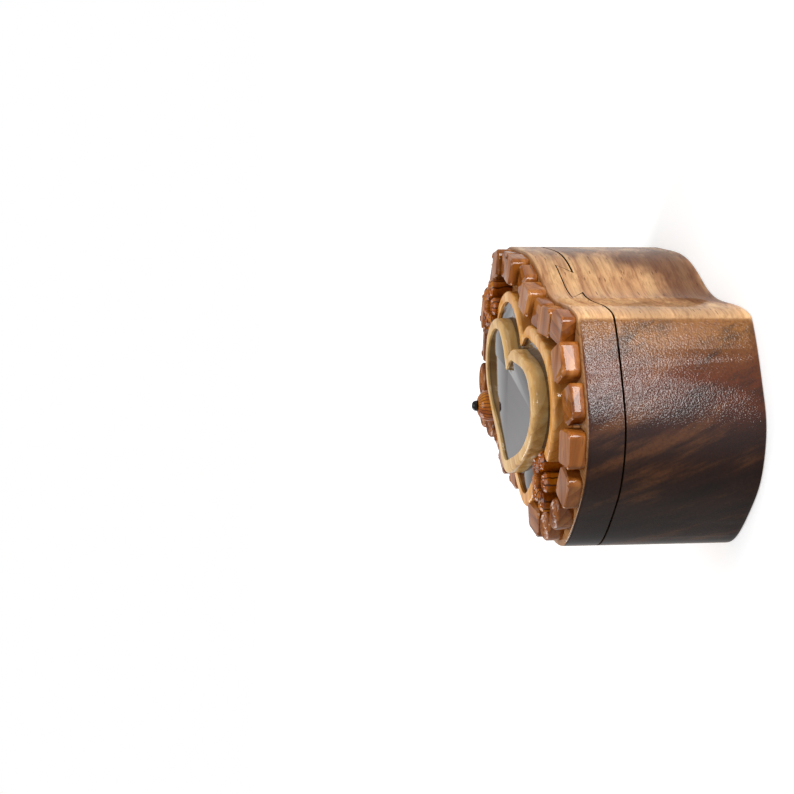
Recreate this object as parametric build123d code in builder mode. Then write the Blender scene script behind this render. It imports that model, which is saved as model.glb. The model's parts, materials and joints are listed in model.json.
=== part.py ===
from build123d import *
from math import cos, hypot, radians, sin
import os

# Puzzle box sawn from one block of hardwood, with a lid that slides off
# sideways on a dovetail and a carved relief of hearts, blossoms and leaves.
# Millimetres. X runs along the box, Y across it, +Z up through the lid.
# The origin is the middle of the flat bottom face.

# Block and saw cut
BODY_TOP = 55.0          # shoulders of the body, where the lid was sawn off
KERF = 0.8               # height of the saw cut that shows as a dark line
BLOCK_TOP = 70.0         # flat lacquered face of the lid
FLOOR = 8.0              # wood left under the hollow
BOTTOM_ROUND = 1.0       # sanded edge round the bottom face
LID_ROUND = 1.2          # sanded edge round the lid face

# Dovetail rail, wide at its top, that the lid slides on along Y
RAIL_TOP = 61.0
RAIL_TOP_HALF = 16.0
RAIL_NECK_HALF = 8.5
RAIL_GAP = 0.5           # clearance over and beside the rail
RAIL_RUN = 140.0         # longer than the box is wide

# Felt pad on the floor of the hollow
FELT = 1.5
FELT_FIT = 0.99          # size of the pad next to the hollow

# Disc magnets that meet face to face in the saw cut and draw the lid shut
MAGNET_RADIUS = 3.0
MAGNET_THICK = 3.0
MAGNET_SPOTS = [(-83.5, -5.0), (84.0, 2.0), (-55.0, -43.0), (45.0, 45.5)]

# Lock: a steel pin hangs in the lid from the magnet of the loose key block
LOCK_X = 0.0
LOCK_Y = 39.2
PIN_RADIUS = 2.0
PIN_BORE_GAP = 0.1
PIN_LENGTH = 6.6
PIN_LIFTED = 61.7        # underside of the pin while the key holds it up
MORTISE = 5.6            # side of the square hole in the rail that the pin drops into
MORTISE_DEPTH = 6.5
PEG_RADIUS = 4.0
PEG_LENGTH = 1.5
PEG_GAP = 0.2
KEY_MAGNET_RADIUS = 2.5
KEY_MAGNET_THICK = 2.0

# Relief pieces, each standing on the lid face
BACK_HEART_HEIGHT = 8.0
FRONT_HEART_HEIGHT = 13.0
HEART_RIM = 5.5
INLAY_DROP = 1.0         # an inlay lies this far below its rim
RIM_EDGE = 1.5
BUTTON_SPOT = (-42.0, -26.5)
BUTTON_RADIUS = 7.0
BUTTON_HEIGHT = 15.5
BUTTON_DOME = 5.0
BUTTON_TIP_RADIUS = 2.4
BUTTON_TIP_HEIGHT = 2.5
BLOSSOM_SPOTS = [("far_blossom", -60.0, 15.0, 10.0), ("near_blossom", 55.0, -18.5, 9.0)]
PETALS = 5
PETAL_REACH = 12.6
PETAL_START = 4.8
PETAL_POINT = 1.2
PETAL_HALF_WIDTH = 4.1
PETAL_EDGE = 1.0
PETAL_GAP = 0.3
BLOSSOM_CENTRE_RADIUS = 3.2
BLOSSOM_CENTRE_RISE = 2.0

# Border of loose-looking blocks and leaves that follows the edge of the lid
BORDER_COUNT = 26
BLOCK_LENGTH = 14.6
BLOCK_INNER = 6.0        # from the border line to the side towards the hearts
BLOCK_OUTER = 6.0        # from the border line to the side towards the lid edge
BLOCK_CORNER = 2.6
BLOCK_EDGE = 0.8
KEY_HEIGHT = 8.0
BLOCK_HEIGHTS = [7.0, 5.5, 8.0, 6.0]
LEAF_PLACES = [8, 9, 10, 17, 18]
CUT_PLACES = [16, 25]    # blocks cut back where the back heart stands
LEFT_FREE = [14, 15]
LEAF_HALF = 8.2
LEAF_HEIGHT = 6.5

# Outline of the block seen from above, wavy as it left the band saw
OUTLINE = [
    (-77.7, -50.6), (-74.1, -52.5), (-65.1, -51.4), (-50.7, -48.3), (-38.2, -47.6),
    (-25.1, -49.8), (-15.1, -51.9), (-3.7, -50.6), (8.8, -48.5), (21.5, -47.8),
    (37.2, -48.3), (55.1, -46.6), (69.7, -39.9), (79.0, -28.3), (84.6, -18.0),
    (89.7, -5.3), (90.5, 6.1), (86.9, 20.6), (79.7, 30.1), (68.3, 42.8),
    (60.6, 50.0), (57.6, 52.0), (53.5, 52.5), (41.1, 50.9), (29.0, 48.0),
    (16.7, 45.7), (4.0, 45.7), (-8.5, 47.9), (-21.2, 49.3), (-32.5, 48.8),
    (-52.1, 44.9), (-64.2, 42.0), (-74.6, 38.6), (-82.8, 30.6), (-88.3, 13.0),
    (-90.5, -10.0), (-88.2, -30.5), (-83.6, -42.5),
]

# Hollow routed out of the body, with about 12 mm of wall round it
HOLLOW = [
    (-77, -5), (-74, -25), (-64, -39), (-45, -36), (-15, -39.5), (20, -36), (50, -35),
    (66, -28), (76, -10), (78, 6), (73, 18), (60, 32), (45, 39), (20, 34), (5, 33.5),
    (-25, 37), (-50, 33), (-68, 27), (-76, 10),
]

# Middle line of the border pieces, from 7 to 8 mm inside the outline; it starts over the pin
BORDER = [
    (LOCK_X, LOCK_Y), (-12, 40.4), (-33, 41.2), (-52, 37.4), (-64, 34.5), (-76, 26), (-81, 11),
    (-83, -8), (-81, -28), (-73.5, -43.5), (-64, -43.5), (-38, -40), (-15, -44), (8, -41),
    (37, -41), (53, -39), (65, -33), (73.5, -24), (82, -5), (82.8, 6), (78.5, 18.5),
    (63.5, 35.5), (54, 44.5), (42, 43.2), (29, 40.5), (16, 38.4),
]

# Hearts, each a closed curve that starts in the notch between the lobes, and their middles
BACK_HEART = [
    (0, 25), (-6, 28.5), (-20, 33), (-38, 29.5), (-51, 14), (-50, -5), (-33, -20), (0, -34),
    (24, -41.5), (31, -41.5), (45, -29), (61, -8), (67, 12), (58, 27), (40, 33.5), (20, 33),
    (6, 28.5),
]
BACK_HEART_MIDDLE = (8.0, -2.0)
FRONT_HEART = [
    (-3, 13), (-9, 17), (-22, 21.5), (-36, 17), (-45, 4), (-42, -9), (-25, -21), (0, -31),
    (12, -34.5), (20, -31), (38, -18), (51, -3), (54, 10), (45, 20.5), (30, 23), (14, 21),
    (3, 17),
]
FRONT_HEART_MIDDLE = (4.0, -6.0)


def drawn_in(points, middle, amount):
    """The same points, each moved by an amount straight towards the middle."""
    moved = []
    for x, y in points:
        reach_x, reach_y = x - middle[0], y - middle[1]
        keep = 1 - amount / hypot(reach_x, reach_y)
        moved.append((middle[0] + reach_x * keep, middle[1] + reach_y * keep))
    return moved


def finish(piece, label):
    """Name one piece and write it to its own file."""
    piece.part.label = label
    export_step(piece.part, f"parts/{label}.step")


os.makedirs("parts", exist_ok=True)

# Outlines seen from above, drawn once and used at several heights
with BuildSketch() as outline:
    with BuildLine():
        Spline(*OUTLINE, periodic=True)
    make_face()

with BuildSketch() as hollow:
    with BuildLine():
        Spline(*HOLLOW, periodic=True)
    make_face()

with BuildLine():
    border_line = Spline(*BORDER, periodic=True)

# Body: the block below the saw cut, with the dovetail rail standing on both long walls
with BuildPart() as body_block:
    with BuildSketch(Plane.XY):
        add(outline.sketch)
    extrude(amount=RAIL_TOP)
    fillet(body_block.faces().sort_by(Axis.Z)[0].edges(), BOTTOM_ROUND)
    with BuildSketch(Plane.XZ):
        for side in (-1, 1):
            with BuildLine():
                Polyline(
                    (side * RAIL_NECK_HALF, BODY_TOP),
                    (side * RAIL_TOP_HALF, RAIL_TOP),
                    (side * RAIL_RUN, RAIL_TOP),
                    (side * RAIL_RUN, BODY_TOP),
                    close=True,
                )
            make_face()
    extrude(amount=RAIL_RUN / 2, both=True, mode=Mode.SUBTRACT)
    with BuildSketch(Plane.XY.offset(FLOOR)):
        add(hollow.sketch)
    extrude(amount=RAIL_TOP, mode=Mode.SUBTRACT)
    with Locations(*[(x, y, BODY_TOP) for x, y in MAGNET_SPOTS]):
        Hole(MAGNET_RADIUS, depth=MAGNET_THICK - KERF / 2)
    with BuildSketch(Plane.XY.offset(RAIL_TOP)):
        with Locations((LOCK_X, LOCK_Y)):
            Rectangle(MORTISE, MORTISE)
    extrude(amount=-MORTISE_DEPTH, mode=Mode.SUBTRACT)
finish(body_block, "body_block")

# Felt pad glued to the floor of the hollow
with BuildPart() as felt_liner:
    with BuildSketch(Plane.XY.offset(FLOOR)):
        add(hollow.sketch)
        scale(by=FELT_FIT)
    extrude(amount=FELT)
finish(felt_liner, "felt_liner")

# Lid: the slab above the saw cut, with the dovetail groove through it
with BuildPart() as lid_slab:
    with BuildSketch(Plane.XY.offset(BODY_TOP + KERF)):
        add(outline.sketch)
    extrude(amount=BLOCK_TOP - BODY_TOP - KERF)
    fillet(lid_slab.faces().sort_by(Axis.Z)[-1].edges(), LID_ROUND)
    with BuildSketch(Plane.XZ):
        with BuildLine():
            Polyline(
                (-RAIL_NECK_HALF - KERF, BODY_TOP),
                (-RAIL_TOP_HALF - KERF, RAIL_TOP + RAIL_GAP),
                (RAIL_TOP_HALF + KERF, RAIL_TOP + RAIL_GAP),
                (RAIL_NECK_HALF + KERF, BODY_TOP),
                close=True,
            )
        make_face()
    extrude(amount=RAIL_RUN / 2, both=True, mode=Mode.SUBTRACT)
    with Locations((LOCK_X, LOCK_Y, BLOCK_TOP)):
        Hole(PIN_RADIUS + PIN_BORE_GAP)
        Hole(PEG_RADIUS + PEG_GAP, depth=PEG_LENGTH)
    with BuildSketch(Plane.XY.offset(BODY_TOP + KERF / 2)):
        with Locations(*MAGNET_SPOTS):
            Circle(MAGNET_RADIUS)
    extrude(amount=MAGNET_THICK, mode=Mode.SUBTRACT)
finish(lid_slab, "lid_slab")

# Closing magnets, a set in the body and a set in the lid
with BuildPart() as body_magnets:
    with BuildSketch(Plane.XY.offset(BODY_TOP + KERF / 2)):
        with Locations(*MAGNET_SPOTS):
            Circle(MAGNET_RADIUS)
    extrude(amount=-MAGNET_THICK)
finish(body_magnets, "body_magnets")

with BuildPart() as lid_magnets:
    with BuildSketch(Plane.XY.offset(BODY_TOP + KERF / 2)):
        with Locations(*MAGNET_SPOTS):
            Circle(MAGNET_RADIUS)
    extrude(amount=MAGNET_THICK)
finish(lid_magnets, "lid_magnets")

# Steel pin that drops into the rail when the key block is taken away
with BuildPart() as lock_pin:
    with BuildSketch(Plane.XY.offset(PIN_LIFTED)):
        with Locations((LOCK_X, LOCK_Y)):
            Circle(PIN_RADIUS)
    extrude(amount=PIN_LENGTH)
    chamfer(lock_pin.edges().sort_by(Axis.Z)[0], 0.4)
finish(lock_pin, "lock_pin")


def border_plane(distance):
    """Plane on the lid face at a distance along the border line, with X along the line."""
    spot = border_line.position_at(distance, position_mode=PositionMode.LENGTH)
    along = border_line.tangent_at(distance, position_mode=PositionMode.LENGTH)
    return Plane(origin=(spot.X, spot.Y, BLOCK_TOP), x_dir=along, z_dir=(0, 0, 1))


# Hearts: a pale rim round a dark inlay; the back one is cut away where the front one,
# the blossoms and the button stand
relief_face = Plane.XY.offset(BLOCK_TOP)
hearts = [
    ("front_heart", FRONT_HEART, FRONT_HEART_MIDDLE, FRONT_HEART_HEIGHT),
    ("back_heart", BACK_HEART, BACK_HEART_MIDDLE, BACK_HEART_HEIGHT),
]
for name, points, middle, height in hearts:
    with BuildSketch() as heart:
        with BuildLine():
            Spline(*points, periodic=True)
        make_face()

    with BuildSketch() as inset_heart:
        with BuildLine():
            Spline(*drawn_in(points, middle, HEART_RIM), periodic=True)
        make_face()

    with BuildPart() as rim:
        with BuildSketch(relief_face):
            add(heart.sketch)
        extrude(amount=height)
        fillet(rim.faces().sort_by(Axis.Z)[-1].edges(), RIM_EDGE)
        with BuildSketch(relief_face):
            add(inset_heart.sketch)
        extrude(amount=height, mode=Mode.SUBTRACT)
        if name == "back_heart":
            add(standing_in_front, mode=Mode.SUBTRACT)
    finish(rim, f"{name}_rim")

    with BuildPart() as inlay:
        with BuildSketch(relief_face):
            add(inset_heart.sketch)
        extrude(amount=height - INLAY_DROP)
        if name == "back_heart":
            add(standing_in_front, mode=Mode.SUBTRACT)
    finish(inlay, f"{name}_inlay")

    # Room that the front heart, the blossoms and the button take from the back heart
    with BuildPart() as cutters:
        with BuildSketch(relief_face):
            add(heart.sketch)
        extrude(amount=FRONT_HEART_HEIGHT)
        with BuildSketch(relief_face):
            with Locations(*[(x, y) for _, x, y, _ in BLOSSOM_SPOTS]):
                Circle(PETAL_REACH + PETAL_GAP)
            with Locations(BUTTON_SPOT):
                Circle(BUTTON_RADIUS + PETAL_GAP)
        extrude(amount=FRONT_HEART_HEIGHT)
    standing_in_front = cutters.part

# Amber button with a dark tip, beside the front heart
with BuildPart() as heart_button:
    with BuildSketch(relief_face):
        with Locations(BUTTON_SPOT):
            Circle(BUTTON_RADIUS)
    extrude(amount=BUTTON_HEIGHT)
    fillet(heart_button.edges().sort_by(Axis.Z)[-1], BUTTON_DOME)
finish(heart_button, "heart_button")

with BuildPart() as button_tip:
    with BuildSketch(relief_face.offset(BUTTON_HEIGHT)):
        with Locations(BUTTON_SPOT):
            Circle(BUTTON_TIP_RADIUS)
    extrude(amount=BUTTON_TIP_HEIGHT)
    fillet(button_tip.edges().sort_by(Axis.Z)[-1], BUTTON_TIP_RADIUS * 0.8)
finish(button_tip, "button_tip")

# Blossoms: petals round a domed centre
for name, x, y, height in BLOSSOM_SPOTS:
    with BuildPart() as centre:
        with BuildSketch(relief_face):
            with Locations((x, y)):
                Circle(BLOSSOM_CENTRE_RADIUS)
        extrude(amount=height + BLOSSOM_CENTRE_RISE)
        fillet(centre.edges().sort_by(Axis.Z)[-1], BLOSSOM_CENTRE_RADIUS / 2)
    finish(centre, f"{name}_centre")
    for count in range(PETALS):
        turn = 360 / PETALS * count + 20
        petal_face = Plane((x, y, BLOCK_TOP), x_dir=(cos(radians(turn)), sin(radians(turn)), 0))
        with BuildPart() as petal:
            with BuildSketch(petal_face):
                with Locations((PETAL_START, 0)):
                    Circle(PETAL_POINT)
                with Locations((PETAL_REACH - PETAL_HALF_WIDTH, 0)):
                    Circle(PETAL_HALF_WIDTH)
                make_hull()
            extrude(amount=height)
            chamfer(petal.faces().sort_by(Axis.Z)[-1].edges(), PETAL_EDGE)
        finish(petal, f"{name}_petal_{count + 1}")

# Key: a loose border block over the pin, with a peg in the lid and a magnet in the peg
with BuildPart() as key_block:
    with BuildSketch(relief_face):
        with Locations((LOCK_X, LOCK_Y)):
            RectangleRounded(BLOCK_LENGTH, BLOCK_INNER + BLOCK_OUTER, BLOCK_CORNER)
    extrude(amount=KEY_HEIGHT)
    chamfer(key_block.faces().sort_by(Axis.Z)[-1].edges(), BLOCK_EDGE)
    with BuildSketch(relief_face):
        with Locations((LOCK_X, LOCK_Y)):
            Circle(PEG_RADIUS)
    extrude(amount=-PEG_LENGTH)
    with BuildSketch(relief_face.offset(-PEG_LENGTH)):
        with Locations((LOCK_X, LOCK_Y)):
            Circle(KEY_MAGNET_RADIUS)
    extrude(amount=KEY_MAGNET_THICK, mode=Mode.SUBTRACT)
finish(key_block, "key_block")

with BuildPart() as key_magnet:
    with BuildSketch(relief_face.offset(-PEG_LENGTH)):
        with Locations((LOCK_X, LOCK_Y)):
            Circle(KEY_MAGNET_RADIUS)
    extrude(amount=KEY_MAGNET_THICK)
finish(key_magnet, "key_magnet")

# Border: blocks and leaves set side by side along the border line, with the key's
# place left free
for count in range(1, BORDER_COUNT):
    if count in LEFT_FREE:
        continue
    place = border_plane(border_line.length * count / BORDER_COUNT)
    leaf = count in LEAF_PLACES
    with BuildPart() as piece:
        with BuildSketch(place):
            if leaf:
                with BuildLine():
                    ThreePointArc((-LEAF_HALF, 0), (0, BLOCK_INNER), (LEAF_HALF, 0))
                    ThreePointArc((-LEAF_HALF, 0), (0, -BLOCK_OUTER), (LEAF_HALF, 0))
                make_face()
            else:
                RectangleRounded(BLOCK_LENGTH, BLOCK_INNER + BLOCK_OUTER, BLOCK_CORNER)
        extrude(amount=LEAF_HEIGHT if leaf else BLOCK_HEIGHTS[count % len(BLOCK_HEIGHTS)])
        chamfer(piece.faces().sort_by(Axis.Z)[-1].edges(), BLOCK_EDGE)
        if count in CUT_PLACES:
            with BuildSketch(relief_face):
                add(heart.sketch)
            extrude(amount=BACK_HEART_HEIGHT, mode=Mode.SUBTRACT)
    finish(piece, f"border_{'leaf' if leaf else 'block'}_{count:02d}")
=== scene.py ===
# %% [markdown]
# A lacquered puzzle box. The real one is sawn from a single block of hardwood: a body with a
# hollow, and a lid that slides on a dovetail and carries hearts, blossoms and a border. Every
# piece could be drawn again here, but the imported solids already fit together and move, so this
# script loads them and dresses them.

# %% Load the frame
import json
import math

import bpy
from mathutils import Matrix, Vector


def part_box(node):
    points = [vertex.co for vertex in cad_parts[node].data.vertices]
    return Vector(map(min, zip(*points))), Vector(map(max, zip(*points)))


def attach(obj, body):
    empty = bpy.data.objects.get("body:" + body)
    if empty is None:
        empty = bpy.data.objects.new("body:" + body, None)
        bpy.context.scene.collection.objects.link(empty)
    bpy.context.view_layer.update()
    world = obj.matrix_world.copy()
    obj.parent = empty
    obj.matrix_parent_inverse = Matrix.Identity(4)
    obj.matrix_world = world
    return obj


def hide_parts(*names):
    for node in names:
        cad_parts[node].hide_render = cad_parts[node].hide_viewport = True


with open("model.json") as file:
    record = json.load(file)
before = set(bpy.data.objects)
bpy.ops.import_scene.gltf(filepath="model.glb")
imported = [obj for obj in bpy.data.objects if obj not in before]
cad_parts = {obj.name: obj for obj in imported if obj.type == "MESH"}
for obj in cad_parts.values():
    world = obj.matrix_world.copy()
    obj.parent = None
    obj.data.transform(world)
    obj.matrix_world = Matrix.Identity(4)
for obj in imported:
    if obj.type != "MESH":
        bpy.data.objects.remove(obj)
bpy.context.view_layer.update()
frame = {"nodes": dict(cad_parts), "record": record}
nodes = frame["nodes"]
print("nodes", len(nodes))

MM = 0.001

# %% [markdown]
# Every finish is a tree of shader nodes. Such a tree could be drawn by hand in the shader
# editor, but in a script each node takes several lines. So one helper adds a node, sets its
# values and joins its inputs. Colours are written as the sRGB hex values that a colour picker
# shows, and shaders reckon in linear light, so another helper turns them.

# %% Helpers for finishes


def linear(hex_colour):
    """The linear colour of an sRGB hex value such as c8a06a."""
    channels = [int(hex_colour[i:i + 2], 16) / 255 for i in (0, 2, 4)]
    spread = [c / 12.92 if c <= 0.04045 else ((c + 0.055) / 1.055) ** 2.4 for c in channels]
    return (*spread, 1.0)


def nodes_for(tree):
    """Empties a tree and gives the function that adds nodes to it."""
    tree.nodes.clear()

    def add(kind, settings=None, out=0, **inputs):
        """Adds one shader node and returns one of its outputs.

        settings are the node's own, and stops among them fills a colour ramp. inputs go by
        name, or by number as _0 where names repeat, and take a socket, a number or a hex colour.
        """
        node = tree.nodes.new(kind)
        for key, value in (settings or {}).items():
            if key != "stops":
                setattr(node, key, value)
                continue
            elements = node.color_ramp.elements
            while len(elements) < len(value):
                elements.new(0.5)
            for element, (position, colour) in zip(elements, value):
                element.position = position
                element.color = linear(colour)
        for key, value in inputs.items():
            socket = node.inputs[int(key[1:]) if key[0] == "_" else key.replace("_", " ")]
            if isinstance(value, bpy.types.NodeSocket):
                tree.links.new(value, socket)
            else:
                socket.default_value = linear(value) if isinstance(value, str) else value
        return node.outputs[out] if len(node.outputs) else node

    return add


def new_finish(name):
    """An empty material, the helper that adds nodes to it, and the piece's own coordinates."""
    finish = bpy.data.materials.new(name)
    finish.use_nodes = True
    add = nodes_for(finish.node_tree)
    return finish, add, add("ShaderNodeTexCoord", out="Object")


# The kinds of node that every finish uses, and their most common settings
MATH, MIX, RAMP = "ShaderNodeMath", "ShaderNodeMix", "ShaderNodeValToRGB"
NOISE, MAPPING, MAP_RANGE = "ShaderNodeTexNoise", "ShaderNodeMapping", "ShaderNodeMapRange"
BUMP, APART = "ShaderNodeBump", "ShaderNodeSeparateXYZ"
PLUS, MINUS, TIMES = ({"operation": name} for name in ("ADD", "SUBTRACT", "MULTIPLY"))
TIMES_PLUS, POWER, MORE, LESS, MOST = (
    {"operation": name} for name in ("MULTIPLY_ADD", "POWER", "GREATER_THAN", "LESS_THAN", "MAXIMUM"))
BLEND = {"data_type": "RGBA"}
DARKEN = {"data_type": "RGBA", "blend_type": "MULTIPLY"}
SOFT = {"interpolation_type": "SMOOTHSTEP"}
print("white is", linear("ffffff"))

# %% [markdown]
# Solid wood shows one body of grain on all its faces: long streaks on the sides, rings and
# dots on the ends. A picture wrapped round each face would break at the edges, so every wood
# here is drawn in three dimensions. Growth rings are shells round a pith that lies outside the
# block, bent by slow noise. Fibres are noise drawn out thirty times along the grain. Pores are
# small dark dashes along the fibres, and dots on an end.

# %% Wood grain in three dimensions

# How many cells of each pattern fit in a metre, so that 1000 / cells is a cell's width in mm
WAVER_CELLS = 28.0  # the rings wander over 36 mm
FIBRE_CELLS = 900.0  # 1.1 mm, coarser than real fibres, so that they show in the render
STREAK_CELLS = 170.0  # streaks 6 mm wide
PORE_CELLS = 620.0  # 1.6 mm from pore to pore
PORE_RADIUS, PORE_SHARE = 0.16, 0.7  # in cells, and the share of cells that have one


def wood_grain(add, place, grain, pith, ring_mm, waver_mm):
    """Late wood, fibres, broad streaks and pores. grain turns them, pith is on the tree's middle."""
    turned = add(MAPPING, Vector=place, Location=pith, Rotation=grain)
    long_waves = add(MAPPING, Vector=turned, Scale=(0.22, 1, 1))
    waver = add(NOISE, Vector=long_waves, Scale=WAVER_CELLS, Detail=3.0, Roughness=0.5)
    from_pith = add(APART, _0=turned).node.outputs
    squares = [add(MATH, POWER, _0=from_pith[axis], _1=2.0) for axis in (1, 2)]
    radius = add(MATH, {"operation": "SQRT"}, _0=add(MATH, PLUS, _0=squares[0], _1=squares[1]))
    bent = add(MATH, TIMES_PLUS, _0=waver, _1=waver_mm * MM * 2, _2=radius)
    ring_count = add(MATH, {"operation": "DIVIDE"}, _0=bent, _1=ring_mm * MM)
    rings = add(MATH, {"operation": "FRACT"}, _0=ring_count)

    long_fibres = add(MAPPING, Vector=turned, Scale=(0.03, 1, 1))
    fibres = add(NOISE, Vector=long_fibres, Scale=FIBRE_CELLS, Detail=4.0, Roughness=0.65)
    broad = add(NOISE, Vector=long_fibres, Scale=STREAK_CELLS, Detail=3.0, Roughness=0.6)

    long_pores = add(MAPPING, Vector=turned, Scale=(0.09, 1, 1))
    cell = add("ShaderNodeTexVoronoi", Vector=long_pores, Scale=PORE_CELLS, Randomness=1.0)
    near = add(MATH, LESS, _0=cell, _1=PORE_RADIUS)
    chance = add("ShaderNodeSeparateColor", Color=cell.node.outputs["Color"])
    some = add(MATH, MORE, _0=chance, _1=1.0 - PORE_SHARE)
    return {"late": add(MATH, POWER, _0=rings, _1=2.5), "fibres": fibres, "broad": broad,
            "pores": add(MATH, TIMES, _0=near, _1=some)}


print("fibres", round(1000 / FIBRE_CELLS, 1), "mm wide, pores", round(1000 / PORE_CELLS, 1), "mm apart")

# %% [markdown]
# The whole box is under thick gloss lacquer, brushed on. Gloss could come from a smooth wood
# surface alone, but lacquer is a clear layer with a skin of its own. So the wood below stays
# rough, and the shader's coat carries the shine, with a faint orange peel in it.

# %% Lacquer

PEEL_CELLS = 1400.0  # orange peel 0.7 mm wide
SWELL_CELLS = 90.0  # brush swell 11 mm wide
LACQUER_IOR = 1.45


def lacquer(add, place, colour, height, wobble=0.05, coat_roughness=0.05, coat=0.45):
    """Ends a finish: wood in its colour and bump, under a clear coat that wobbles a little."""
    peel = add(NOISE, Vector=place, Scale=PEEL_CELLS, Detail=2.0, Roughness=0.5)
    swell = add(NOISE, Vector=place, Scale=SWELL_CELLS, Detail=2.0, Roughness=0.5)
    skin = add(BUMP, Strength=wobble, Distance=0.3 * MM,
               Height=add(MATH, TIMES_PLUS, _0=swell, _1=0.6, _2=peel))
    wood = add(BUMP, Strength=0.25, Distance=0.1 * MM, Height=height)
    shader = add("ShaderNodeBsdfPrincipled", Base_Color=colour, Roughness=0.5, Specular_IOR_Level=0.0,
                 Normal=wood, Coat_Weight=coat, Coat_Roughness=coat_roughness, Coat_IOR=LACQUER_IOR,
                 Coat_Normal=skin)
    add("ShaderNodeOutputMaterial", Surface=shader)


print("lacquer IOR", LACQUER_IOR)

# %% [markdown]
# The block is one piece of dark-hearted hardwood, and each way it faces has a look of its own.
# Separate materials could be given to its faces, but body and lid curve from one look into the
# next. So a single finish asks which way a point of the surface looks, and the same grain runs
# on through the saw cut. The first helper here answers that question. The second turns a
# pattern and then stretches it, so that it can lean.

# %% Directions and leaning patterns


def facing(add, axis, low, high, most=1.0):
    """How far a face looks along an axis, from 0 below low to most above high."""
    normal = add(APART, _0=add("ShaderNodeNewGeometry", out="Normal")).node.outputs[axis]
    return add(MAP_RANGE, SOFT, Value=normal, From_Min=low, From_Max=high, To_Max=most)


def leaning(add, place, turn, stretch):
    """Coordinates turned first and then stretched, so that a pattern can lean."""
    return add(MAPPING, Scale=stretch, Vector=add(MAPPING, Vector=place, Rotation=turn))


print("directions ready")

# %% [markdown]
# The long walls are pale sapwood, cream tan with brown clouds drawn out along the grain. The
# end walls are end grain, which drinks the lacquer: golden at the crease, then amber, then
# nearly black, with leaning bands. The underside is golden brown face grain, darker towards
# one side. Each is a colour ramp over the grain, with a few darker or paler blends on top.

# %% Woods of the block

SIDE_COLOURS = [(0.32, "d6ac7a"), (0.5, "c29265"), (0.7, "996843")]
END_COLOURS = [(0.12, "22110a"), (0.36, "30190c"), (0.55, "280f05"), (0.64, "260a02"),
               (0.72, "3a1504"), (0.82, "552405"), (0.9, "5a2f0b"), (0.97, "7a4d1e")]
UNDER_COLOURS = [(0.4, "b47c3d"), (0.6, "98642e"), (0.82, "6b401c")]
CLOUD_CELLS = 34.0  # clouds 29 mm across
BAND_CELLS = 70.0  # bands 14 mm across


def side_wood(add, spot, streak, clouds):
    """Cream tan sapwood with brown clouds, paler towards the end with the crease."""
    colour = add(RAMP, {"stops": SIDE_COLOURS}, Fac=streak)
    cloudy = add(MAP_RANGE, SOFT, Value=clouds, From_Min=0.46, From_Max=0.62, To_Max=0.85)
    colour = add(MIX, BLEND, out=2, _0=cloudy, _6=colour, _7="62381f")
    pale = add(MAP_RANGE, SOFT, Value=spot[0], From_Min=28 * MM, From_Max=54 * MM, To_Max=0.4)
    return add(MIX, BLEND, out=2, _0=pale, _6=colour, _7="dcb586")


def end_wood(add, place, spot, clouds):
    """End grain that runs from golden through amber to black brown across the wall."""
    across = add(MATH, TIMES_PLUS, _0=spot[1], _1=9.5, _2=0.38)
    stirred = add(MATH, TIMES_PLUS, _0=clouds, _1=0.24, _2=across)
    colour = add(RAMP, {"stops": END_COLOURS}, Fac=stirred)
    bands = add(NOISE, Scale=BAND_CELLS, Detail=4.0, Roughness=0.6,
                Vector=leaning(add, place, (-0.45, 0, 0), (1.0, 1.5, 0.25)))
    lit = add(MAP_RANGE, SOFT, Value=bands, From_Min=0.5, From_Max=0.7, To_Max=0.4)
    colour = add(MIX, BLEND, out=2, _0=lit, _6=colour, _7="7a4a24")
    dark = add(MAP_RANGE, SOFT, Value=bands, From_Min=0.48, From_Max=0.3, To_Max=0.7)
    return add(MIX, BLEND, out=2, _0=dark, _6=colour, _7="140903")


def under_wood(add, spot, streak, clouds, fibres):
    """Golden brown face grain with long streaks, darker towards one side."""
    colour = add(RAMP, {"stops": UNDER_COLOURS}, Fac=add(MATH, TIMES_PLUS, _0=fibres, _1=0.2, _2=streak))
    across = add(MATH, TIMES_PLUS, _0=clouds, _1=0.03, _2=spot[1])
    dark_side = add(MAP_RANGE, SOFT, Value=across, From_Min=0.018, From_Max=0.06, To_Max=0.6)
    return add(MIX, BLEND, out=2, _0=dark_side, _6=colour, _7="4f2a12")


print("woods of the block", len(SIDE_COLOURS) + len(END_COLOURS) + len(UNDER_COLOURS), "colours")

# %% [markdown]
# The level faces inside the narrow saw cut between lid and body are painted nearly black, as
# painted shade for the dark gap there, and the lid's face behind the relief is plain brown. Both
# are found by their height. End grain drinks lacquer unevenly, so the gloss of the thick coat
# breaks into speckles there, most of all at the crease. That is a stronger coat with a stronger
# wobble on that part of the wall.

# %% Finish of the block

LID_FACE = 68 * MM  # just below the lid's face, which is at 70 mm
CUT_LOW, CUT_HIGH = 54.6 * MM, 62.0 * MM  # the saw cut and its dovetail lie between these


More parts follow.
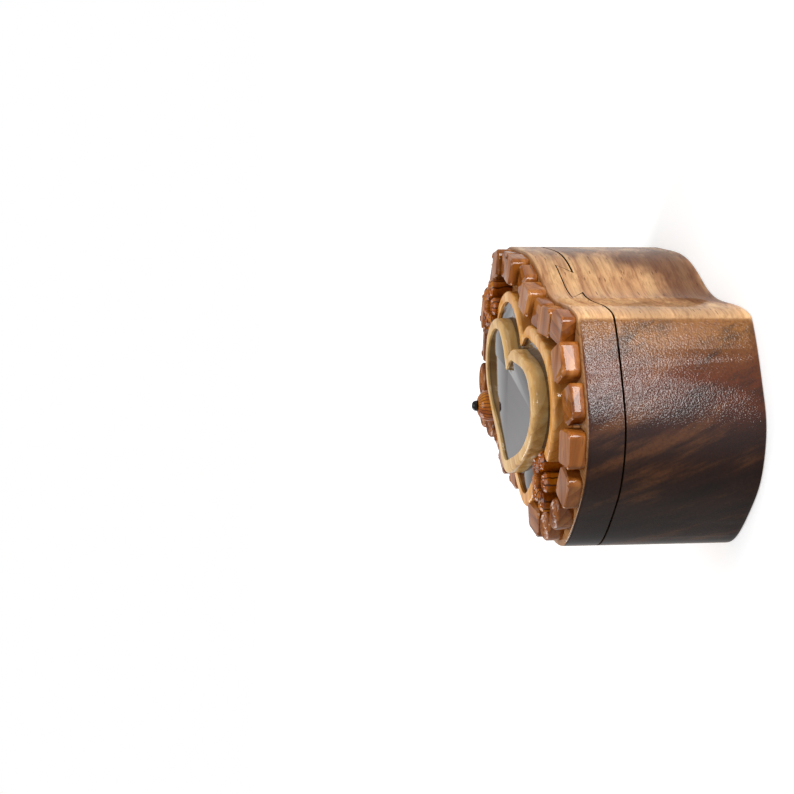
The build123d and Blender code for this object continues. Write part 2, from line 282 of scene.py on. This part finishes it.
def make_block_finish(name):
    """Acacia-like hardwood, planed, sanded and lacquered: pale sides, dark ends, golden underside."""
    finish, add, place = new_finish(name)
    grain = wood_grain(add, place, (0.0, 0.05, 0.04), (0.0, 0.02, 0.16), ring_mm=7.5, waver_mm=9.0)
    spot = add(APART, _0=place).node.outputs
    clouds = add(NOISE, Scale=CLOUD_CELLS, Detail=4.0, Roughness=0.6,
                 Vector=leaning(add, place, (0.25, 0.1, 0.0), (0.3, 1.0, 1.0)))
    streak = add(MATH, TIMES_PLUS, _0=grain["late"], _1=0.12,
                 _2=add(MATH, TIMES, _0=grain["broad"], _1=0.9))

    ends = facing(add, 0, 0.4, 0.62)
    end_colour = end_wood(add, place, spot, clouds)
    on_top = add(MATH, TIMES, _0=facing(add, 2, 0.5, 0.8, most=0.75),
                 _1=add(MATH, MORE, _0=spot[2], _1=LID_FACE))
    in_shaded_cut = add(MATH, TIMES, _0=add(MATH, MORE, _0=spot[2], _1=CUT_LOW),
                 _1=add(MATH, LESS, _0=spot[2], _1=CUT_HIGH))
    level = add(MATH, MOST, _0=facing(add, 2, 0.3, 0.6, most=0.9), _1=facing(add, 2, -0.3, -0.6, most=0.9))

    colour = side_wood(add, spot, streak, clouds)
    for share, over in (
            (ends, end_colour),
            (facing(add, 0, -0.45, -0.8, most=0.85), end_colour),
            (facing(add, 2, -0.5, -0.8), under_wood(add, spot, streak, clouds, grain["fibres"])),
            (on_top, "8a5a2e")):
        colour = add(MIX, BLEND, out=2, _0=share, _6=colour, _7=over)
    fibrous = add(MAP_RANGE, SOFT, Value=grain["fibres"], From_Min=0.4, From_Max=0.7, To_Max=0.45)
    colour = add(MIX, DARKEN, out=2, _0=fibrous, _6=colour, _7="8a6440")
    for share, over in (
            (add(MATH, TIMES, _0=grain["pores"], _1=0.6), "3b2010"),
            # painted shade: the level faces inside the saw cut are darkened nearly black for the shadow in
            # the gap
            (add(MATH, TIMES, _0=in_shaded_cut, _1=level), "1d0f07")):
        colour = add(MIX, BLEND, out=2, _0=share, _6=colour, _7=over)

    crease_side = add(MAP_RANGE, SOFT, Value=spot[1], From_Min=0.0, From_Max=22 * MM)
    thirsty = add(MATH, TIMES, _0=ends, _1=crease_side)
    lacquer(add, place, colour, grain["fibres"],
            wobble=add(MATH, TIMES_PLUS, _0=thirsty, _1=0.85, _2=0.05),
            coat=add(MATH, TIMES_PLUS, _0=thirsty, _1=0.45, _2=0.32))
    return finish


block_wood = make_block_finish("lacquered_acacia_block")
print("finish", block_wood.name)

# %% [markdown]
# The relief is cut from other woods and glued on. They differ only in their colours, the
# spacing of their rings and how their grain lies, so one function draws them all from those.

# %% Finishes of the relief


def make_relief_finish(name, light, middle, dark, ring_mm, pore_share, grain_turn=0.0,
                       coat_roughness=0.05, coat=0.45):
    """A small piece of lacquered wood, its grain turned by an angle about Z."""
    finish, add, place = new_finish(name)
    grain = wood_grain(add, place, (0.1, 0.08, grain_turn), (0.0, 0.09, 0.06), ring_mm, waver_mm=6.0)
    streak = add(MATH, TIMES_PLUS, _0=grain["late"], _1=0.16,
                 _2=add(MATH, TIMES, _0=grain["broad"], _1=0.92))
    colour = add(RAMP, {"stops": [(0.28, light), (0.52, middle), (0.82, dark)]}, Fac=streak)
    fibrous = add(MATH, TIMES, _0=grain["fibres"], _1=0.3)
    colour = add(MIX, DARKEN, out=2, _0=fibrous, _6=colour, _7="a07850")
    porous = add(MATH, TIMES, _0=grain["pores"], _1=pore_share)
    colour = add(MIX, BLEND, out=2, _0=porous, _6=colour, _7=dark)
    lacquer(add, place, colour, grain["fibres"], coat_roughness=coat_roughness, coat=coat)
    return finish


# Sanded beech, fine and even: the rims look smooth and creamy, the lower one stained amber
pale_beech = make_relief_finish("lacquered_pale_beech", "e6c48a", "d4a865", "a87640", 4.0, 0.3, 0.6)
amber_beech = make_relief_finish("lacquered_amber_beech", "efc688", "dc9d4d", "b06a22", 4.0, 0.3, 0.9)
# Wenge stained and polished to a mirror: nearly black, and it reflects the room
dark_inlay = make_relief_finish("polished_stained_wenge", "2a1519", "1c0d12", "120609", 3.0, 0.2,
                                coat_roughness=0.02, coat=0.9)
# Mahogany with open pores, sawn with the grain or across it: reddish brown with darker dashes
mahogany = make_relief_finish("lacquered_mahogany", "ba7c3e", "98581f", "5e320f", 3.5, 0.6, 1.4)
mahogany_turned = make_relief_finish("lacquered_mahogany_turned", "ae7035", "8a4c18", "50280b", 3.5, 0.6, 0.2)
# Boxwood charred by a hot iron: matt black brown under the coat
burnt_wood = make_relief_finish("burnt_boxwood", "1c1714", "120e0c", "080605", 3.0, 0.2)
for finish in (pale_beech, amber_beech, dark_inlay, mahogany, mahogany_turned, burnt_wood):
    print("finish", finish.name)

# %% [markdown]
# A blossom is amber boxwood with lines burnt into it by a hot wire. They could be cut into the
# mesh, but they are less than a millimetre wide, so they are drawn. They run out from the
# blossom's middle, so they follow the angle round it, and slow noise makes them wander as a
# hand does. A bump also sinks them a little below the wood between them.

# %% Burnt lines on the blossoms

LINES_ROUND = 25
WANDER_CELLS = 160.0  # a line wanders over 6 mm
AMBER_COLOURS = [(0.3, "c87f1c"), (0.5, "a8590f"), (0.72, "702f08")]


def middle_of(node):
    """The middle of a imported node."""
    low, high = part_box(node)
    return (low + high) / 2


def make_petal_finish(name, middle):
    """Amber stained boxwood with burnt lines that spread from a point."""
    finish, add, place = new_finish(name)
    grain = wood_grain(add, place, (0.1, 0.0, 0.4), (0.0, 0.07, 0.05), ring_mm=3.0, waver_mm=4.0)
    centred = add(MAPPING, Vector=place, Location=(-middle[0], -middle[1], 0))
    apart = add(APART, _0=centred).node.outputs
    angle = add(MATH, {"operation": "ARCTAN2"}, _0=apart[1], _1=apart[0])
    wander = add(NOISE, Vector=place, Scale=WANDER_CELLS, Detail=2.0)
    turn = add(MATH, TIMES_PLUS, _0=wander, _1=0.9,
               _2=add(MATH, TIMES, _0=angle, _1=LINES_ROUND / math.tau))
    between = add(MATH, MINUS, _0=add(MATH, {"operation": "FRACT"}, _0=turn), _1=0.5)
    from_line = add(MATH, {"operation": "ABSOLUTE"}, _0=between)
    burnt = add(MAP_RANGE, Value=from_line, From_Min=0.16, From_Max=0.05)
    colour = add(RAMP, {"stops": AMBER_COLOURS}, Fac=grain["broad"])
    colour = add(MIX, BLEND, out=2, _0=add(MATH, TIMES, _0=burnt, _1=0.85), _6=colour, _7="2c1206")
    lacquer(add, place, colour, add(MATH, MINUS, _0=1.0, _1=burnt))
    return finish


petal_finish = {blossom: make_petal_finish(f"burnt_amber_boxwood_{blossom}", middle_of(f"{blossom}_centre"))
                for blossom in ("far_blossom", "near_blossom")}
button_wood = make_petal_finish("amber_button_boxwood", middle_of("heart_button"))
print("burnt finishes", len(petal_finish) + 1)

# %% [markdown]
# The magnets are nickel plated and the lock pin is a ground steel rod. Plating and grinding
# leave faint streaks, which show as a roughness that changes, not as a colour. The hollow is
# lined with short wool felt, which is matt, mottled by its fibres and pale at grazing angles.

# %% Finishes of the metal and the felt

TOOL_MARK_CELLS = 3000.0  # streaks 0.3 mm wide
NAP_CELLS = 1500.0  # tufts of wool 0.7 mm wide, coarser than the real ones


def make_metal_finish(name, colour, roughness):
    """Plain metal with the faint streaks that turning or plating leaves."""
    finish, add, place = new_finish(name)
    streaks = add(NOISE, Scale=TOOL_MARK_CELLS, Detail=2.0,
                  Vector=add(MAPPING, Vector=place, Scale=(1, 1, 0.05)))
    rough = add(MAP_RANGE, Value=streaks, To_Min=roughness * 0.8, To_Max=roughness * 1.25)
    shader = add("ShaderNodeBsdfPrincipled", Base_Color=colour, Metallic=1.0, Roughness=rough)
    add("ShaderNodeOutputMaterial", Surface=shader)
    return finish


def make_felt_finish(name, colour, shadow):
    """Short wool felt: matted fibres, soft sheen."""
    finish, add, place = new_finish(name)
    nap = add(NOISE, Vector=place, Scale=NAP_CELLS, Detail=5.0, Roughness=0.7)
    mottled = add(RAMP, {"stops": [(0.35, shadow), (0.65, colour)]}, Fac=nap)
    shader = add("ShaderNodeBsdfPrincipled", Base_Color=mottled, Roughness=0.95, Sheen_Weight=0.4,
                 Normal=add(BUMP, Strength=0.6, Distance=0.3 * MM, Height=nap))
    add("ShaderNodeOutputMaterial", Surface=shader)
    return finish


plated = make_metal_finish("nickel_plated_magnet", "b9b4aa", 0.18)
steel = make_metal_finish("ground_steel_rod", "a9abad", 0.3)
felt = make_felt_finish("brown_wool_felt", "3d2417", "22130b")
print("finishes", plated.name, steel.name, felt.name)

# %% [markdown]
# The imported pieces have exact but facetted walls, and gloss shows every facet. A piece could
# be modelled afresh over each, but its outline is already right. So each wooden piece is
# copied, its loose triangles are merged and its flat faces are made whole again. Then sharp
# edges are softened a little, as sanding does, and the shading is smoothed.

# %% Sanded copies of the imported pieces

SHARP_EDGE = math.radians(28.0)


def in_edit_mode(copy):
    """Makes one object the only selected one and opens it in edit mode."""
    bpy.ops.object.select_all(action="DESELECT")
    bpy.context.view_layer.objects.active = copy
    copy.select_set(True)
    bpy.ops.object.mode_set(mode="EDIT")


def merged_copy(node):
    """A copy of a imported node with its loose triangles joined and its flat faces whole."""
    copy = bpy.data.objects.new(f"{node}_sanded", nodes[node].data.copy())
    bpy.context.scene.collection.objects.link(copy)
    in_edit_mode(copy)
    bpy.ops.mesh.select_all(action="SELECT")
    bpy.ops.mesh.remove_doubles(threshold=0.002 * MM)
    bpy.ops.mesh.dissolve_limited(angle_limit=math.radians(0.4))
    bpy.ops.mesh.select_all(action="DESELECT")
    bpy.ops.object.mode_set(mode="OBJECT")
    return copy


def sand_edges(copy, soften_mm, steps):
    """Rounds the sharp edges of the selected copy by a small width and smooths its shading."""
    if soften_mm:
        bevel = copy.modifiers.new("sanded_edges", "BEVEL")
        bevel.width = soften_mm * MM
        bevel.segments = steps
        bevel.limit_method = "ANGLE"
        bevel.angle_limit = SHARP_EDGE
        bpy.ops.object.modifier_apply(modifier=bevel.name)
    bpy.ops.object.shade_smooth_by_angle(angle=SHARP_EDGE)


print("edges sharper than", round(math.degrees(SHARP_EDGE)), "degrees are sanded")

# %% [markdown]
# The carver cut a few lines into each leaf and petal that follow its outline, and sanded the
# tops of the border blocks so that they lean towards the lid's edge. An inset would draw such
# lines, but it makes spikes at the tips of a leaf. So the top face is extruded in place, made
# narrower about its own middle and moved down or up, once for each line.

# %% Carved tops

# Each step narrows the top to a share of its size and lowers it by some mm
LEAF_RINGS = [(0.84, 0.7), (0.88, 0.0), (0.8, -0.7), (0.75, 0.6), (0.7, 0.0), (0.5, -0.6)]
PETAL_RINGS = [(0.8, 0.8), (0.84, 0.0), (0.7, -0.7), (0.4, 0.9)]


def select_top(copy):
    """Selects the flat top face of a piece, opens the piece in edit mode and gives its middle."""
    top = max(copy.data.polygons, key=lambda face: (round(face.normal.z, 2), face.center.z, face.area))
    top.select = True
    in_edit_mode(copy)
    bpy.ops.mesh.select_mode(type="FACE")
    return top.center.copy()


def carve_rings(copy, rings):
    """Carves lines that follow the outline into the top."""
    centre = select_top(copy)
    for share, depth_mm in rings:
        bpy.ops.mesh.extrude_region_move(TRANSFORM_OT_translate={"value": (0, 0, 0)})
        bpy.ops.transform.resize(value=(share, share, 1), center_override=centre)
        bpy.ops.transform.translate(value=(0, 0, -depth_mm * MM))
    bpy.ops.object.mode_set(mode="OBJECT")


def tilt_top(copy, degrees):
    """Leans the top face so that the side towards the edge of the lid is the lower one."""
    centre = Vector(select_top(copy).to_tuple())
    outward = centre.to_2d().normalized()
    for axis, share in (("X", outward.y), ("Y", -outward.x)):
        bpy.ops.transform.rotate(value=math.radians(degrees) * share, orient_axis=axis, orient_type="GLOBAL",
                                 center_override=centre)
    bpy.ops.object.mode_set(mode="OBJECT")


print("carved steps", len(LEAF_RINGS), "on a leaf,", len(PETAL_RINGS), "on a petal")

# %% [markdown]
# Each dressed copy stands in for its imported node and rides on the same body, so that it moves
# when the lid slides or the key is lifted. Body and lid keep their saw-sharp edges, because
# the two halves of the block have to meet in a thin line.

# %% Dress the block and the hearts

body_of = {node: body for body, members in frame["record"]["behaviour"]["bodies"].items() for node in members}


def dress(node, finish, soften_mm=0.0, steps=2, rings=(), tilt=0.0):
    """Stands a carved and sanded copy in for a node, in its finish, on its body."""
    copy = merged_copy(node)
    if rings:
        carve_rings(copy, rings)
    if tilt:
        tilt_top(copy, tilt)
    sand_edges(copy, soften_mm, steps)
    copy.data.materials.clear()
    copy.data.materials.append(finish)
    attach(copy, body_of[node])
    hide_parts(node)


dress("body_block", block_wood)
dress("lid_slab", block_wood)
for heart, rim_wood in (("front_heart", pale_beech), ("back_heart", amber_beech)):
    dress(f"{heart}_rim", rim_wood, 0.4)
    dress(f"{heart}_inlay", dark_inlay, 0.4)
print("block and hearts dressed")

# %% [markdown]
# The border and the blossoms repeat the same few steps, so they are dressed in one loop. No
# two border blocks were sanded alike. A number worked out from the letters of the piece's name
# differs from block to block and is the same in every run, so it picks the lean and the wood.

# %% Dress the border and the blossoms

LEAST_LEAN, LEAN_CHOICES = 4.0, 5  # degrees, and how many leans there are

for name in sorted(nodes):
    number = sum(map(ord, name))
    if name.startswith("border_leaf"):
        dress(name, mahogany if name[-1] in "79" else mahogany_turned, 0.3, rings=LEAF_RINGS)
    elif name.startswith(("border_block", "key_block")):
        lean = LEAST_LEAN + number % LEAN_CHOICES
        dress(name, mahogany if number % 2 else mahogany_turned, 0.7, steps=3, tilt=lean)
    elif "_petal_" in name:
        dress(name, petal_finish[name.split("_petal_")[0]], 0.3, rings=PETAL_RINGS)
    elif name.endswith("_centre"):
        dress(name, petal_finish[name.removesuffix("_centre")], 0.3)
dress("heart_button", button_wood, 0.3)
dress("button_tip", burnt_wood, 0.2)
print("relief dressed")

# %% [markdown]
# The magnets, the pin and the felt are plain discs, a rod and a sheet whose solids already
# have every edge they need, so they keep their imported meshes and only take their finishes.

# %% Finish the fittings
for name, finish in (("body_magnets", plated), ("lid_magnets", plated), ("key_magnet", plated),
                     ("lock_pin", steel), ("felt_liner", felt)):
    nodes[name].data.materials.clear()
    nodes[name].data.materials.append(finish)
print("fittings finished")

# %% [markdown]
# The camera stands where the photograph was taken, low beside one end of the box and turned
# on its side, so that the long wall is on top. Its place, its two directions and its focal
# length in pixels were fitted to the outline of the box.

# %% Camera
PIXELS = 794
FOCAL_PIXELS = 1628.2
CAMERA_PLACE = Vector((630.6, 256.7, 226.2)) * MM
CAMERA_UP = Vector((-0.38141, 0.92436, -0.00904))
CAMERA_AHEAD = Vector((-0.91472, -0.3788, -0.14072))

camera_data = bpy.data.cameras.new("camera")
camera_data.sensor_width = 36.0
camera_data.lens = FOCAL_PIXELS / PIXELS * camera_data.sensor_width
camera_data.clip_start = 0.01
camera = bpy.data.objects.new("camera", camera_data)
right = CAMERA_AHEAD.cross(CAMERA_UP).normalized()
up = right.cross(CAMERA_AHEAD).normalized()
turn = Matrix((right, up, -CAMERA_AHEAD.normalized())).transposed()
camera.matrix_world = Matrix.Translation(CAMERA_PLACE) @ turn.to_4x4()
bpy.context.scene.collection.objects.link(camera)
bpy.context.scene.camera = camera
print("camera lens", round(camera_data.lens, 1))

# %% [markdown]
# The table is a plain pale floor under the box. Brighter lamps would make it white, but they
# would bleach the box too. So the floor glows a little, only for rays that come from the camera
# or off something glossy, and less close to the box, where it has to show the shadow.

# %% Floor

FLOOR_SIZE = 6.0
FLOOR_HEIGHT = -0.05 * MM  # a hair below the box, so that the two flat faces don't fight


def seen_directly(add):
    """1 for a ray from the camera or off a mirror or glass, which is what sees a white backdrop."""
    rays = add("ShaderNodeLightPath").node.outputs
    mirrored = add(MATH, MOST, _0=rays["Is Glossy Ray"], _1=rays["Is Transmission Ray"])
    return add(MATH, MOST, _0=rays["Is Camera Ray"], _1=mirrored)


bpy.ops.object.select_all(action="DESELECT")
bpy.ops.mesh.primitive_plane_add(size=FLOOR_SIZE, location=(0, 0, FLOOR_HEIGHT))
floor = bpy.context.active_object
floor.name = "floor"
floor_finish, add, place = new_finish("matt_white_table")
distance = add("ShaderNodeVectorMath", {"operation": "LENGTH"}, out="Value", _0=place)
white_far_off = add(MAP_RANGE, Value=distance, From_Min=0.15, From_Max=0.7, To_Min=0.55, To_Max=1.0)
shader = add("ShaderNodeBsdfPrincipled", Base_Color="bcbcbc", Roughness=0.9, Specular_IOR_Level=0.1,
             Emission_Color=(1.0, 1.0, 1.0, 1.0),
             Emission_Strength=add(MATH, TIMES, _0=seen_directly(add), _1=white_far_off))
add("ShaderNodeOutputMaterial", Surface=shader)
floor.data.materials.append(floor_finish)
print("floor", FLOOR_SIZE, "m wide")

# %% [markdown]
# The light is soft and plain. A broad lamp above and one on the side away from the camera
# fill the box evenly. A small lamp lies low beside the dark end wall, close to where the
# camera sees it mirrored, and that is what wakes the speckled gloss of the end grain. Another
# small one lights the long wall. The world lights everything faintly, and it is white only
# where it is seen.

# %% Lamps


def add_lamp(name, place, aim, width, height, watts):
    """A rectangular area lamp that looks at a point."""
    data = bpy.data.lights.new(name, "AREA")
    data.shape = "RECTANGLE"
    data.size = width
    data.size_y = height
    data.energy = watts
    lamp = bpy.data.objects.new(name, data)
    lamp.location = place
    lamp.rotation_euler = (Vector(aim) - Vector(place)).to_track_quat("-Z", "Y").to_euler()
    bpy.context.scene.collection.objects.link(lamp)
    return lamp


lamps = [
    add_lamp("key_lamp", (0.17, 0.21, 0.032), (0.075, 0.038, 0.05), 0.12, 0.056, 0.5),
    add_lamp("crease_lamp", (-0.03, 0.42, 0.12), (0.05, 0.05, 0.05), 0.1, 0.1, 0.26),
    add_lamp("top_lamp", (0.1, 0.1, 1.0), (0, 0, 0.08), 0.5, 0.5, 5),
    add_lamp("front_lamp", (-0.3, -0.8, 0.6), (0, 0, 0.04), 0.5, 0.5, 5)]
print("lamps", [lamp.name for lamp in lamps])

# %% World

WORLD_LIGHT = 0.35

world = bpy.data.worlds.new("studio")
bpy.context.scene.world = world
world.use_nodes = True
add = nodes_for(world.node_tree)
strength = add(MAP_RANGE, Value=seen_directly(add), To_Min=WORLD_LIGHT, To_Max=1.0)
background = add("ShaderNodeBackground", Color=(1, 1, 1, 1), Strength=strength)
add("ShaderNodeOutputWorld", Surface=background)
bpy.context.scene.view_settings.view_transform = "Standard"
print("world light", WORLD_LIGHT)
